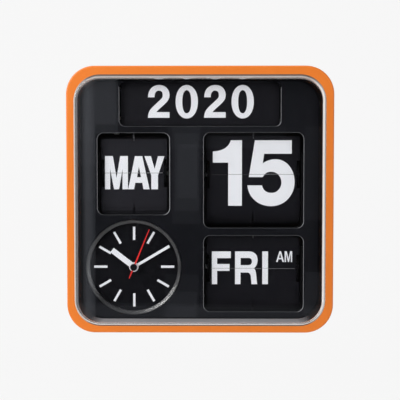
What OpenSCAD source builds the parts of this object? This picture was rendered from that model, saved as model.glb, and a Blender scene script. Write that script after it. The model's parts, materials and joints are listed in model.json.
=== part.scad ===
// Flip wall clock: an orange casing with a clear box lens, a black panel with year, month, date and
// day displays, and an analogue dial. Every module is drawn face on: x right, y up, z towards the
// viewer, with z = 0 in the wall plane. The last lines stand each one up, so that the front faces -Y.

/* [Casing] */
// outer corner radius of the casing
casing_corner = 25.5; // [22:0.5:30]
// wall of the casing
casing_wall = 3; // [2.5:0.1:3.5]
// visible width of the front rim
rim_width = 10.5; // [9.5:0.1:11.5]

/* [Lens] */
// depth of the whole clock, from the wall to the lens front
overall_depth = 95; // [94:0.5:105]
// wall of the clear lens
lens_wall = 2.5; // [2:0.1:3]
// outer corner radius of the lens
lens_corner = 22.75; // [20:0.25:25]
// gap between the lens and the casing rim
lens_gap = 0.5; // [0.3:0.1:0.8]

/* [Panel] */
// thickness of the black panel
panel_thick = 2.5; // [2:0.1:3]
// free border between a leaf and its window at the left and right
window_side = 2.6; // [2.2:0.1:3]
// inner corner radius of the windows
window_corner = 6; // [3:0.5:8]
// width of the year window
year_window_w = 145.6; // [130:0.2:150]
// height of the year window
year_window_h = 39.8; // [36:0.2:44]
// free border left of the month window
left_margin = 16.7; // [14:0.1:20]
// free border right of the date window
right_margin = 16; // [14:0.1:20]
// bar between the month and the date window
column_gap = 30.9; // [30:0.1:36]
// free border above the year window
top_margin = 3.3; // [3:0.1:8]
// bar between the year and the date window
year_gap = 5.8; // [5:0.1:8]
// bar between the date and the day window
day_gap = 7.1; // [6:0.1:10]
// free border below the day window
bottom_margin = 7.8; // [7.5:0.1:12]
// bar between the month window and the dial ring
dial_gap = 4.8; // [4:0.1:8]
// free border below the dial ring
dial_margin = 5.2; // [5:0.1:9]

/* [Flip displays] */
// width of a date or day leaf
wide_leaf_w = 85; // [80:0.5:86]
// width of a month leaf
month_leaf_w = 60; // [56:0.5:61]
// height of a date leaf above the split line
date_leaf_h = 34.5; // [30:0.5:35]
// height of a month leaf above the split line
month_leaf_h = 31; // [28:0.5:33]
// height of a day leaf above the split line
day_leaf_h = 29.5; // [26:0.5:30]
// thickness of a leaf
leaf_thick = 0.25; // [0.2:0.01:0.3]
// radius of the circle of leaf pivots
pivot_radius = 13; // [12.6:0.1:13.6]
// open line between an upper and a lower leaf
split_gap = 0.6; // [0.5:0.05:0.8]
// radius of the drum shafts
shaft_r = 2; // [1.8:0.1:2.2]
// free space behind the leaves that stand out to the rear
fan_gap = 4; // [3:0.5:8]

/* [Dial] */
// radius of the bright ring round the dial
ring_r = 43; // [41:0.5:44]
// width of that ring
ring_width = 3; // [2.5:0.1:4]
// reach of the hour hand from the dial centre
hour_reach = 25.2; // [22:0.2:28]
// reach of the minute hand
minute_reach = 37.6; // [34:0.2:38.5]
// reach of the second hand
second_reach = 37.2; // [34:0.2:38.5]

/* [Fits] */
// radial clearance of a turning fit
run_gap = 0.05; // [0.03:0.01:0.08]
// clearance of a part that only has to slip into place
slip_gap = 0.3; // [0.2:0.05:0.5]

/* [Hidden] */
$fn = 64;

// colours
c_orange = [0.94, 0.50, 0.18];
c_black = [0.10, 0.10, 0.11];
c_grey = [0.35, 0.35, 0.37];
c_white = [0.95, 0.95, 0.94];
c_clear = [0.85, 0.90, 0.92, 0.35];
c_steel = [0.72, 0.73, 0.75];
c_brass = [0.80, 0.65, 0.32];
c_red = [0.80, 0.08, 0.06];

// borders between a leaf and its window above and below
month_above = 5.1;
month_below = 6.7;
date_above = 3.1;
date_below = 13.9;
day_above = 0.9;
day_below = 9.3;
// rise of the month display above the date display
month_lift = 1.2;

// the casing is as large as its fullest column or row needs
month_window_w = month_leaf_w + 2 * window_side;
wide_window_w = wide_leaf_w + 2 * window_side;
split_drop = top_margin + year_window_h + year_gap + date_above + date_leaf_h;
need_wide = left_margin + month_window_w + column_gap + wide_window_w + right_margin;
need_left = split_drop - month_lift + month_leaf_h + month_below + dial_gap + 2 * ring_r + dial_margin;
need_right = split_drop + date_leaf_h + date_below + day_gap + day_above + 2 * day_leaf_h + day_below
  + bottom_margin;
open_half = max(need_wide, need_left, need_right) / 2;
case_half = open_half + rim_width;
inner_half = case_half - casing_wall;
inner_corner = casing_corner - casing_wall;
lens_half = open_half - lens_gap;

// and as deep as the leaves that stand out to the rear need
cover_out = 4;
cover_thick = 2.5;
cover_in = cover_out + cover_thick;
cover_half = inner_half - slip_gap;
drum_drop = 16.5;
rim_thick = 3.6;
flange_thick = 2.4;
panel_back = cover_in + fan_gap + max(date_leaf_h, month_leaf_h, day_leaf_h) + drum_drop;
panel_front = panel_back + panel_thick;
rim_back = panel_front + flange_thick;
casing_depth = rim_back + rim_thick;
lens_inside = overall_depth - lens_wall;
lens_round = 3.5;
case_round = 1.6;

// panel
panel_half = inner_half - 3;
panel_corner = 16;
ear = panel_half - panel_corner + 7.8;
ear_boss_r = 3.5;
ear_hole_r = 1.25;
rear_boss_x = inner_half - 4.5;
rear_boss_y = inner_half - 47;
rear_boss_r = 4.5;
left_end = left_margin + month_window_w / 2 - open_half;
left_x = max(left_end, ring_r + dial_margin - open_half);
right_x = open_half - right_margin - wide_window_w / 2;
dial_y = ring_r + dial_margin - open_half;
year_top = open_half - top_margin;
year_bottom = year_top - year_window_h;
date_split = open_half - split_drop;
month_split = date_split + month_lift;
month_top = month_split + month_leaf_h + month_above;
month_bottom = month_split - month_leaf_h - month_below;
date_top = date_split + date_leaf_h + date_above;
date_bottom = date_split - date_leaf_h - date_below;
day_bottom = bottom_margin - open_half;
day_split = day_bottom + day_below + day_leaf_h;
day_top = day_split + day_leaf_h + day_above;

// the keyhole that hangs the clock
keyhole_y = inner_half - 33;
keyhole_r = 5;
keyhole_slot = 2.4;
keyhole_rise = 9;

// flip modules
drum_d = panel_back - drum_drop;
ring_out = pivot_radius + 1.4;
ring_thick = 1.5;
tab_hole_r = 0.75;
notch_deep = 3;
notch_tall = 11;
cheek_gap = 1;
cheek_thick = 2;
gear_thick = 4;
drum_teeth = 24;
wheel_teeth = 30;
gear_mod = 1;
wheel_d = drum_d - gear_mod * (drum_teeth + wheel_teeth) / 2;
axle_r = 2.5;
foot_thick = 2;
month_n = 24;
date_n = 31;
day_n = 28;
foot_reach = 7;
foot_half = 4;
foot_rise = 12;
foot_lift = 8;
month_bar = month_split - month_leaf_h - 15.5;
date_bar = date_split - date_leaf_h - 16;
day_bar = day_split - day_leaf_h - 17;

// year scroll
spool_r = 5;
spool_d = panel_back - 8;
spool_flange_r = 6;
spool_journal_r = 1.5;
year_mid = (year_top + year_bottom) / 2 + 1.6;
pinion_teeth = 12;
year_teeth = 52;
year_reach = gear_mod * (pinion_teeth + year_teeth) / 2;
spool_rise = year_window_h / 2 + 0.7;
year_d = spool_d - sqrt(year_reach * year_reach - spool_rise * spool_rise);
tape_half = year_window_w / 2 - 1;
tape_thick = 0.3;
tape_back = spool_d + spool_r + 0.1;
year_cheek = tape_half + 3.4;

// dial and movement, all measured from the panel
dial_front = panel_front - 4.8;
dial_thick = 1.2;
dial_back = dial_front - dial_thick;
dial_r = ring_r;
ring_lip = 0.4;
ring_drop = 1.8;
move_half = 28;
move_wall = 1.5;
shell_split = dial_back - 8;
move_rear = dial_back - 16;
train_reach = 12;
time_y = dial_y + train_reach;
pipe_r = 2.6;
cannon_r = 1.95;
second_r = 0.95;
stem_r = 1.25;
lug_reach = 48;
lug_d = panel_back - 5;
hour_angle = 307.5;
minute_angle = 59.3;
second_angle = 22.8;

// battery
cell_r = 7.25;
cell_len = 49.5;
cell_d = 14;
cell_y = 19 - inner_half;
cell_x = left_x - 1;
bay_half_x = 31;
bay_half_y = 8.6;
bay_wall = 1.5;
bay_in = cell_d + cell_r + 1;
door_thick = 2;

function inv(a) = tan(a) - a * PI / 180;
// half width, in degrees, of an involute tooth at radius r
function half_tooth(r, rp, rb, teeth, play) =
  90 / teeth - play / rp * 45 / PI + (inv(20) - inv(acos(min(1, rb / r)))) * 180 / PI;
function polar(r, a) = [r * cos(a), r * sin(a)];
function radii(root, rb, rp, tip) =
  [root, max(root + 0.02, rb + 0.01), (rb + rp) / 2, rp, (rp + tip) / 2, tip];
function tooth(rs, rp, rb, teeth, play, at) = concat(
  [for (i = [0:1:len(rs) - 1]) polar(rs[i], at - half_tooth(max(rs[i], rb), rp, rb, teeth, play))],
  [for (i = [len(rs) - 1:-1:0]) polar(rs[i], at + half_tooth(max(rs[i], rb), rp, rb, teeth, play))]
);

// a toothed outline with a tooth at angle turn
module gear_outline(teeth, mod, turn = 0, play = 0.2) {
  rp = teeth * mod / 2;
  rb = rp * cos(20);
  rs = radii(rp - 1.2 * mod, rb, rp, rp + 0.85 * mod);
  polygon([for (k = [0:teeth - 1]) each tooth(rs, rp, rb, teeth, play, turn + 360 * k / teeth)]);
}

// a rounded rectangle about the origin
module rounded(w, h, r) {
  square([w - 2 * r, h], center = true);
  square([w, h - 2 * r], center = true);
  for (i = [-1, 1])
    for (j = [-1, 1])
      translate([i * (w / 2 - r), j * (h / 2 - r)])
        circle(r);
}

module plate(d0, d1) {
  translate([0, 0, d0])
    linear_extrude(d1 - d0)
      children();
}

module disc(r, d0, d1) {
  translate([0, 0, d0])
    cylinder(r = r, h = d1 - d0);
}

// a block between two corners
module block(a, b) {
  translate(a)
    cube(b - a);
}

// a rod along x, at height y and depth d
module rod_x(r, x0, x1, y, d) {
  translate([x0, y, d])
    rotate([0, 90, 0])
      cylinder(r = r, h = x1 - x0);
}

// an outline drawn as (height, depth), carried along x
module along_x(x0, x1) {
  translate([x0, 0, 0])
    rotate([90, 0, 90])
      linear_extrude(x1 - x0)
        children();
}

// an outline drawn as (distance from the core, depth), carried round a rounded square
module round_square(half, r) {
  core = half - r;
  for (k = [0:3])
    rotate([0, 0, 90 * k])
      translate([core, core, 0]) {
        rotate([90, 0, 0])
          linear_extrude(2 * core)
            children();
        rotate_extrude(angle = 90)
          children();
      }
}

module four(x, y) {
  for (i = [-1, 1])
    for (j = [-1, 1])
      translate([i * x, j * y, 0])
        children();
}

// a screw pointing to +z, with its head behind depth d
module screw(d, reach, r, head_r, head) {
  difference() {
    union() {
      disc(head_r, d - head, d);
      disc(r, d - 0.01, d + reach);
    }
    for (a = [0, 90])
      rotate([0, 0, a])
        translate([-head_r * 0.6, -0.25, d - head - 0.01])
          cube([head_r * 1.2, 0.5, head * 0.5]);
  }
}

module casing() {
  color(c_orange)
    difference() {
      union() {
        round_square(case_half, casing_corner) {
          translate([inner_corner, 0])
            square([casing_wall, casing_depth - case_round]);
          translate([inner_corner, casing_depth - case_round])
            square([casing_wall - case_round, case_round]);
          intersection() {
            translate([casing_corner - case_round, casing_depth - case_round])
              circle(case_round);
            translate([casing_corner - case_round, casing_depth - case_round])
              square(case_round + 1);
          }
        }
        difference() {
          plate(rim_back, casing_depth)
            rounded(2 * inner_half, 2 * inner_half, inner_corner);
          plate(rim_back - 1, casing_depth + 1)
            rounded(2 * open_half, 2 * open_half, lens_corner + lens_gap);
        }
        four(ear, ear)
          disc(ear_boss_r, panel_front, rim_back + 0.5);
        intersection() {
          four(rear_boss_x + 0.6, rear_boss_y)
            disc(rear_boss_r, cover_in, cover_in + 24);
          block([-case_half + 1, -case_half, 0], [case_half - 1, case_half, casing_depth]);
        }
      }
      four(ear, ear)
        disc(ear_hole_r, panel_front - 1, casing_depth - 1);
      four(rear_boss_x, rear_boss_y)
        disc(ear_hole_r, cover_in - 1, cover_in + 12);
    }
}

module lens_profile() {
  flat = lens_corner - lens_round;
  difference() {
    union() {
      translate([0, panel_front])
        square([lens_corner, overall_depth - lens_round - panel_front]);
      square_top = overall_depth - lens_round;
      translate([0, square_top])
        square([flat, lens_round]);
      intersection() {
        translate([flat, square_top])
          circle(lens_round);
        translate([flat, square_top])
          square(lens_round + 1);
      }
    }
    translate([-1, panel_front - 1])
      square([lens_corner - lens_wall + 1, lens_inside - 1 - panel_front + 1]);
    translate([-1, lens_inside - 1.5])
      square([lens_corner - lens_wall, 1.5]);
    translate([lens_corner - lens_wall - 1, lens_inside - 1])
      circle(1);
  }
}

module front_lens() {
  core = lens_half - lens_corner;
  color(c_clear)
    difference() {
      union() {
        round_square(lens_half, lens_corner)
          lens_profile();
        block([-core, -core, lens_inside], [core, core, overall_depth]);
        difference() {
          plate(panel_front, rim_back)
            rounded(2 * lens_half + 7, 2 * lens_half + 7, 35);
          plate(panel_front - 1, rim_back + 1)
            rounded(2 * lens_half - 1, 2 * lens_half - 1, lens_corner - 0.5);
        }
      }
      four(rear_boss_x, rear_boss_y)
        disc(rear_boss_r + 1, panel_front - 1, rim_back + 1);
    }
}

module window(x0, x1, y0, y1, r = window_corner) {
  translate([(x0 + x1) / 2, (y0 + y1) / 2])
    rounded(x1 - x0, y1 - y0, r);
}

module dial_panel() {
  wide = wide_window_w / 2;
  narrow = month_window_w / 2;
  color(c_black)
    difference() {
      union() {
        plate(panel_back, panel_front)
          rounded(2 * panel_half, 2 * panel_half, panel_corner);
        translate([left_x, dial_y, 0])
          difference() {
            disc(dial_r + 2.5, dial_back, panel_back + 0.5);
            disc(dial_r + slip_gap, dial_back - 1, panel_back + 1);
          }
        for (i = [-1, 1])
          translate([left_x + i * lug_reach, dial_y, 0])
            disc(3.2, lug_d, panel_back + 0.5);
      }
      plate(panel_back - 1, panel_front + 1) {
        window(left_end - narrow, left_end + narrow, month_bottom, month_top);
        window(right_x - wide, right_x + wide, date_bottom, date_top);
        window(right_x - wide, right_x + wide, day_bottom, day_top);
        window(-year_window_w / 2, year_window_w / 2, year_bottom, year_top, window_corner - 1);
      }
      translate([left_x, dial_y, 0])
        disc(dial_r + slip_gap, panel_back - 1, panel_front + 1);
      four(ear, ear)
        disc(ear_hole_r + 0.25, panel_back - 1, panel_front + 1);
      four(rear_boss_x + 0.5, rear_boss_y)
        disc(rear_boss_r + 1.2, panel_back - 1, panel_front + 1);
      for (i = [-1, 1])
        translate([left_x + i * lug_reach, dial_y, 0])
          disc(1.1, lug_d - 1, panel_front - 1.2);
      foot_screw_places()
        disc(1, panel_back - 1, panel_front - 0.7);
    }
}

module clock_dial() {
  color(c_black)
    translate([left_x, dial_y, 0])
      difference() {
        disc(dial_r, dial_back, dial_front);
        disc(pipe_r + 0.6, dial_back - 1, dial_front + 1);
      }
}

// a flat cone inside the panel's bore, on a straight wall that stands on the dial
module dial_ring() {
  foot = ring_r - ring_width;
  color(c_black)
    translate([left_x, dial_y, 0])
      rotate_extrude()
        polygon([
          [foot, dial_front],
          [ring_r, dial_front],
          [ring_r, panel_front + ring_lip],
          [ring_r - ring_lip, panel_front + ring_lip],
          [foot, panel_front + ring_lip - ring_drop]
        ]);
}

module hour_markers() {
  color(c_white)
    translate([left_x, dial_y, 0])
      for (k = [0:11])
        rotate([0, 0, -30 * k])
          block([-1.05, ring_r - 18.5, dial_front], [1.05, ring_r - 6.4, dial_front + 0.4]);
}

// a round entry below a narrow slot
module keyhole() {
  translate([0, keyhole_y, 0])
    disc(keyhole_r, cover_out - 1, cover_in + 1);
  translate([0, keyhole_y + keyhole_rise, 0])
    disc(keyhole_slot, cover_out - 1, cover_in + 1);
  block([-keyhole_slot, keyhole_y, cover_out - 1], [keyhole_slot, keyhole_y + keyhole_rise, cover_in + 1]);
}

module wheel_slot(x, y, half_w, half_h) {
  block([x - half_w, y - half_h, cover_out - 1], [x + half_w, y + half_h, cover_in + 1]);
}

function wheel_chord(r, d) = sqrt(r * r - (d - cover_in) * (d - cover_in)) + 1.2;

module rear_cover() {
  wheel_out = gear_mod * (wheel_teeth / 2 + 0.85);
  year_out = gear_mod * (year_teeth / 2 + 0.85);
  half_w = gear_thick / 2 + 0.5;
  color(c_black)
    difference() {
      union() {
        plate(cover_out, cover_in)
          rounded(2 * cover_half, 2 * cover_half, inner_corner - slip_gap);
        block([cell_x - bay_half_x - bay_wall, cell_y - bay_half_y - bay_wall, cover_in - 0.5],
              [cell_x + bay_half_x + bay_wall, cell_y + bay_half_y + bay_wall, bay_in + bay_wall]);
      }
      keyhole();
      wheel_slot(month_gear_x(), month_split, half_w, wheel_chord(wheel_out, wheel_d));
      wheel_slot(wide_gear_x(), date_split, half_w, wheel_chord(wheel_out, wheel_d));
      wheel_slot(wide_gear_x(), day_split, half_w, wheel_chord(wheel_out, wheel_d));
      wheel_slot(year_gear_x(), year_mid, half_w, wheel_chord(year_out, year_d));
      translate([left_x, time_y, 0])
        disc(stem_r + slip_gap, cover_out - 1, cover_in + 1);
      four(rear_boss_x, rear_boss_y)
        disc(ear_hole_r + 0.25, cover_out - 1, cover_in + 1);
      block([cell_x - bay_half_x, cell_y - bay_half_y, cover_out - 1],
            [cell_x + bay_half_x, cell_y + bay_half_y, bay_in]);
      block([cell_x - bay_half_x - 2, cell_y - bay_half_y - 2, cover_out - 1],
            [cell_x + bay_half_x + 2, cell_y + bay_half_y + 2, cover_out + door_thick - 0.6]);
      for (i = [-1, 1])
        translate([cell_x + i * (bay_half_x - 2), cell_y + bay_half_y - 2, 0])
          disc(0.8, bay_in - 1, bay_in + bay_wall + 1);
    }
}

module rear_cover_screws() {
  color(c_steel)
    four(rear_boss_x, rear_boss_y)
      screw(cover_out, cover_thick + 9, ear_hole_r, 2.6, 1.6);
}

module panel_screws() {
  color(c_steel)
    four(ear, ear)
      screw(panel_back, panel_thick + flange_thick + 2, ear_hole_r, 2.4, 1.5);
}

function month_gear_x() = left_end + month_leaf_w / 2 + cheek_gap + cheek_thick + 0.5 + gear_thick / 2;
function wide_gear_x() = right_x - wide_leaf_w / 2 - cheek_gap - cheek_thick - 0.5 - gear_thick / 2;
function year_gear_x() = -year_cheek - cheek_thick - 0.5 - gear_thick / 2;

module movement_front_shell() {
  color(c_grey)
    translate([left_x, dial_y, 0])
      difference() {
        union() {
          plate(shell_split, dial_back)
            rounded(2 * move_half, 2 * move_half, 4);
          block([-lug_reach - 4.5, -4.5, lug_d - 2], [lug_reach + 4.5, 4.5, lug_d]);
        }
        plate(shell_split - 1, dial_back - move_wall)
          rounded(2 * (move_half - move_wall), 2 * (move_half - move_wall), 2.5);
        disc(pipe_r + run_gap, shell_split, dial_back + 1);
        translate([0, train_reach, 0])
          disc(0.9 + run_gap, shell_split, dial_back - 0.4);
        for (i = [-1, 1])
          translate([i * lug_reach, 0, 0])
            disc(1.35, lug_d - 3, lug_d + 1);
        four(move_half - 3.2, move_half - 3.2)
          disc(1, shell_split - 1, shell_split + 5);
      }
  color(c_grey)
    translate([left_x, dial_y, 0])
      four(move_half - 3.2, move_half - 3.2)
        difference() {
          disc(2.4, shell_split, dial_back - move_wall + 0.2);
          disc(1, shell_split - 1, shell_split + 5);
        }
}

module movement_rear_shell() {
  color(c_grey)
    translate([left_x, dial_y, 0])
      difference() {
        union() {
          difference() {
            plate(move_rear, shell_split)
              rounded(2 * move_half, 2 * move_half, 4);
            plate(move_rear + move_wall, shell_split + 1)
              rounded(2 * (move_half - move_wall), 2 * (move_half - move_wall), 2.5);
          }
          four(move_half - 3.2, move_half - 3.2)
            disc(2.4, move_rear, shell_split);
          disc(2.6, move_rear, move_rear + 3.2);
          translate([0, train_reach, 0])
            disc(3, move_rear, move_rear + 3.2);
        }
        disc(second_r + run_gap, move_rear + 0.6, shell_split);
        translate([0, train_reach, 0])
          disc(stem_r + run_gap, move_rear - 1, shell_split);
        four(move_half - 3.2, move_half - 3.2)
          disc(1.25, move_rear - 1, shell_split + 1);
      }
}

module movement_screws() {
  color(c_steel)
    translate([left_x, dial_y, 0]) {
      four(move_half - 3.2, move_half - 3.2)
        screw(move_rear, 8 + 4.5, 1, 2, 1.2);
      for (i = [-1, 1])
        translate([i * lug_reach, 0, 0])
          screw(lug_d - 2, 2 + 5, 1.1, 2.2, 1.4);
    }
}

// the side plates, cross bar and feet of one display; side is the x direction of its gear
module flip_frame(cx, w, split, bar, side) {
  inner = w / 2 + cheek_gap;
  outer = inner + cheek_thick;
  color(c_black)
    difference() {
      union() {
        for (i = [-1, 1])
          along_x(cx + (i > 0 ? inner : -outer), cx + (i > 0 ? outer : -inner)) {
            translate([bar, drum_d - 9])
              square([split - bar + 20, panel_back - drum_d + 9]);
            if (i == side)
              translate([split - 6, wheel_d - 5])
                square([12, drum_d - wheel_d]);
          }
        block([cx - outer, bar, drum_d - 6], [cx + outer, bar + 2, drum_d + 6]);
        for (i = [-1, 1])
          for (y = [split + foot_rise, bar + foot_lift])
            block([cx + (i > 0 ? inner : -outer - foot_reach), y - foot_half, panel_back - foot_thick],
                  [cx + (i > 0 ? outer + foot_reach : -inner), y + foot_half, panel_back]);
        rod_x(axle_r, cx + (side > 0 ? inner : -outer - gear_thick - 1),
              cx + (side > 0 ? outer + gear_thick + 1 : -inner), split, wheel_d);
      }
      rod_x(shaft_r + run_gap, cx - outer - 1, cx + outer + 1, split, drum_d);
      for (i = [-1, 1])
        for (y = [split + foot_rise, bar + foot_lift])
          translate([cx + i * (outer + foot_reach / 2), y, 0])
            disc(1.2, panel_back - foot_thick - 1, panel_back + 1);
    }
}

module flip_feet(cx, w, split, bar) {
  for (i = [-1, 1])
    for (y = [split + foot_rise, bar + foot_lift])
      translate([cx + i * (w / 2 + cheek_gap + cheek_thick + foot_reach / 2), y, 0])
        children();
}

module foot_screw_places() {
  flip_feet(left_end, month_leaf_w, month_split, month_bar)
    children();
  flip_feet(right_x, wide_leaf_w, date_split, date_bar)
    children();
  flip_feet(right_x, wide_leaf_w, day_split, day_bar)
    children();
  for (i = [-1, 1])
    for (y = [year_mid - 4, year_mid + 6])
      translate([i * (year_cheek + cheek_thick + 5.2), y, 0])
        children();
}

module month_frame() {
  flip_frame(left_end, month_leaf_w, month_split, month_bar, 1);
}

module date_frame() {
  flip_frame(right_x, wide_leaf_w, date_split, date_bar, -1);
}

module day_frame() {
  flip_frame(right_x, wide_leaf_w, day_split, day_bar, -1);
}

module frame_screws() {
  color(c_steel)
    foot_screw_places()
      screw(panel_back - foot_thick, foot_thick + 1.6, 1, 2, 1.2);
}

// pivot angle of the leaf in place k, from the front towards the top
function pivot_angle(n, k) = 180 / n + 360 * k / n;
// direction of that leaf: a fan behind the front leaf, then hanging straight down
function leaf_angle(n, k) = min(90 + 360 * k / n, 270);
function leaf_root(n) = (PI * 2 * pivot_radius / n - split_gap) / 2;
function leaf_tip(n, h) = h - pivot_radius * sin(180 / n);

// one leaf, with its pivot at the origin and its free edge up
module leaf(n, w, h) {
  root = leaf_root(n);
  tip = leaf_tip(n, h);
  neck = w / 2 - notch_deep;
  translate([0, 0, -leaf_thick / 2])
    linear_extrude(leaf_thick)
      polygon([
        [-neck, -root], [neck, -root], [neck, -0.5], [w / 2 - 0.3, -0.5], [w / 2 - 0.3, 0.5],
        [neck, 0.5], [neck, notch_tall], [w / 2, notch_tall], [w / 2, tip - 1], [w / 2 - 1, tip],
        [0.8, tip], [0.8, tip - 3], [-0.8, tip - 3], [-0.8, tip], [1 - w / 2, tip],
        [-w / 2, tip - 1], [-w / 2, notch_tall], [-neck, notch_tall], [-neck, 0.5],
        [0.3 - w / 2, 0.5], [0.3 - w / 2, -0.5], [-neck, -0.5]
      ]);
}

module placed_leaf(cx, n, w, h, split, k) {
  a = pivot_angle(n, k);
  translate([cx, split + pivot_radius * sin(a), drum_d + pivot_radius * cos(a)])
    rotate([90 - leaf_angle(n, k), 0, 0])
      leaf(n, w, h);
}

module leaf_pack(cx, n, w, h, split) {
  color(c_black)
    for (k = [1:n - 1])
      placed_leaf(cx, n, w, h, split, k);
}

module flip_leaf(cx, n, w, h, split) {
  color(c_black)
    placed_leaf(cx, n, w, h, split, 0);
}

// two drilled rings on a tube: the leaf tabs turn in the holes
module drum(cx, n, w, split) {
  far = w / 2 - 0.8;
  near = far - ring_thick;
  color(c_black)
    difference() {
      union() {
        rod_x(5, cx - far, cx + far, split, drum_d);
        for (i = [-1, 1])
          rod_x(ring_out, cx + (i > 0 ? near : -far), cx + (i > 0 ? far : -near), split, drum_d);
      }
      rod_x(shaft_r, cx - far - 1, cx + far + 1, split, drum_d);
      for (k = [0:n - 1]) {
        a = pivot_angle(n, k);
        y = split + pivot_radius * sin(a);
        d = drum_d + pivot_radius * cos(a);
        rod_x(tab_hole_r, cx - far - 1, cx - near + 1, y, d);
        rod_x(tab_hole_r, cx + near - 1, cx + far + 1, y, d);
      }
    }
}

module drum_shaft(cx, w, split, side) {
  outer = w / 2 + cheek_gap + cheek_thick;
  color(c_steel)
    rod_x(shaft_r, cx - (side < 0 ? outer + 0.5 + gear_thick : outer),
          cx + (side > 0 ? outer + 0.5 + gear_thick : outer), split, drum_d);
}

// a toothed wheel turning about x, centred on x, with a round bore
module wheel_x(x, y, d, teeth, turn, bore) {
  color(c_white)
    difference() {
      along_x(x - gear_thick / 2, x + gear_thick / 2)
        translate([y, d])
          gear_outline(teeth, gear_mod, turn);
      rod_x(bore, x - gear_thick, x + gear_thick, y, d);
    }
}

// the outline angle runs from height towards depth: the setting wheel lies at -90 from the drum gear
module drum_gear(x, y) {
  wheel_x(x, y, drum_d, drum_teeth, -90 + 180 / drum_teeth, shaft_r);
}

module setting_wheel(x, y) {
  wheel_x(x, y, wheel_d, wheel_teeth, 90, axle_r + run_gap);
}

// a spring finger behind the panel whose end stands in the edge notch of the leaves
module leaf_stop(cx, split, h, top) {
  plane = drum_d + pivot_radius * cos(6);
  tip = split + h;
  color(c_steel)
    translate([cx, 0, 0]) {
      block([-3, top + 1, panel_back - 1], [3, top + 5, panel_back]);
      block([-0.6, tip + 0.8, panel_back - 1], [0.6, top + 1.5, panel_back]);
      block([-0.6, tip + 0.8, plane - 0.5], [0.6, tip + 1.8, panel_back]);
      block([-0.4, tip - 2, plane - 0.4], [0.4, tip + 1.8, plane + 0.4]);
    }
}

module year_frame() {
  up = year_mid + spool_rise;
  low = year_mid - spool_rise;
  color(c_black)
    difference() {
      union() {
        for (i = [-1, 1])
          along_x(i > 0 ? year_cheek : -year_cheek - cheek_thick,
                  i > 0 ? year_cheek + cheek_thick : -year_cheek)
            translate([low - 4, spool_d - 6])
              square([up - low + 8, panel_back - spool_d + 6]);
        along_x(-year_cheek - cheek_thick, -year_cheek)
          translate([year_mid - 6, year_d - 6])
            square([12, spool_d - year_d]);
        block([-year_cheek - 1, low + 8, spool_d + 1.5], [year_cheek + 1, up - 8, tape_back - 0.2]);
        block([-year_cheek - cheek_thick - 9, year_mid - 8, panel_back - foot_thick],
              [-year_cheek, year_mid + 10, panel_back]);
        block([year_cheek, year_mid - 8, panel_back - foot_thick],
              [year_cheek + cheek_thick + 9, year_mid + 10, panel_back]);
        rod_x(axle_r, -year_cheek - cheek_thick - gear_thick - 1, -year_cheek, year_mid, year_d);
      }
      for (y = [low, up])
        rod_x(spool_journal_r + run_gap, -year_cheek - 5, year_cheek + 5, y, spool_d);
      for (i = [-1, 1])
        for (y = [year_mid - 4, year_mid + 6])
          translate([i * (year_cheek + cheek_thick + 5.2), y, 0])
            disc(1.2, panel_back - foot_thick - 1, panel_back + 1);
    }
}

module year_tape() {
  color(c_black)
    block([-tape_half, year_mid - spool_rise, tape_back],
          [tape_half, year_mid + spool_rise, tape_back + tape_thick]);
}

// a wound spool with its flanges, journals and pinion; turn sets the pinion in mesh
module spool(y, turn) {
  x = year_gear_x();
  color(c_black)
    union() {
      rod_x(spool_r, -tape_half - 0.5, tape_half + 0.5, y, spool_d);
      for (i = [-1, 1])
        rod_x(spool_flange_r, i > 0 ? tape_half + 0.5 : -tape_half - 1.9,
              i > 0 ? tape_half + 1.9 : -tape_half - 0.5, y, spool_d);
      rod_x(spool_journal_r, x, year_cheek + cheek_thick + 0.5, y, spool_d);
      along_x(x - gear_thick / 2, x + gear_thick / 2)
        translate([y, spool_d])
          gear_outline(pinion_teeth, gear_mod, turn);
    }
}

// direction of a spool from the year wheel, in the outline's angle
spool_dir = atan2(spool_d - year_d, spool_rise);
// how far the wheel's nearest tooth is turned past that direction, as a share of a pitch
spool_share = spool_dir / (360 / year_teeth) - round(spool_dir / (360 / year_teeth));

module upper_spool() {
  spool(year_mid + spool_rise, spool_dir + 180 + (0.5 + spool_share) * 360 / pinion_teeth);
}

module lower_spool() {
  spool(year_mid - spool_rise, -spool_dir + (0.5 - spool_share) * 360 / pinion_teeth);
}

module year_wheel() {
  wheel_x(year_gear_x(), year_mid, year_d, year_teeth, 0, axle_r + run_gap);
}

module battery_cell() {
  color(c_grey) {
    rod_x(cell_r, cell_x - cell_len / 2, cell_x + cell_len / 2, cell_y, cell_d);
    rod_x(2.7, cell_x + cell_len / 2 - 0.1, cell_x + cell_len / 2 + 1, cell_y, cell_d);
  }
}

function unit(v) = v / norm(v);
function bend(a, b, c, d, t) =
  a * pow(1 - t, 3) + b * 3 * t * pow(1 - t, 2) + c * 3 * t * t * (1 - t) + d * pow(t, 3);

// a round wire along a path; ref is a direction that the path never takes
module tube(path, r, ref, sides = 8) {
  last = len(path) - 1;
  rings = [
    for (i = [0:last])
      let (t = unit(path[min(i + 1, last)] - path[max(i - 1, 0)]), u = unit(cross(t, ref)), v = cross(t, u))
        for (j = [0:sides - 1])
          path[i] + r * (u * cos(360 * j / sides) + v * sin(360 * j / sides))
  ];
  walls = [
    for (i = [0:last - 1])
      for (j = [0:sides - 1])
        let (k = (j + 1) % sides)
          [i * sides + k, i * sides + j, (i + 1) * sides + j, (i + 1) * sides + k]
  ];
  ends = [[for (j = [0:sides - 1]) j], [for (j = [sides - 1:-1:0]) last * sides + j]];
  polyhedron(rings, concat(walls, ends));
}

// a coil along x, its radius running from r0 to r1
function coil(r0, r1, turns, long) = [
  for (i = [0:20 * turns])
    let (s = i / (20 * turns), a = 360 * turns * s, r = r0 + (r1 - r0) * s)
      [long * s, r * cos(a), r * sin(a)]
];

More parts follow.
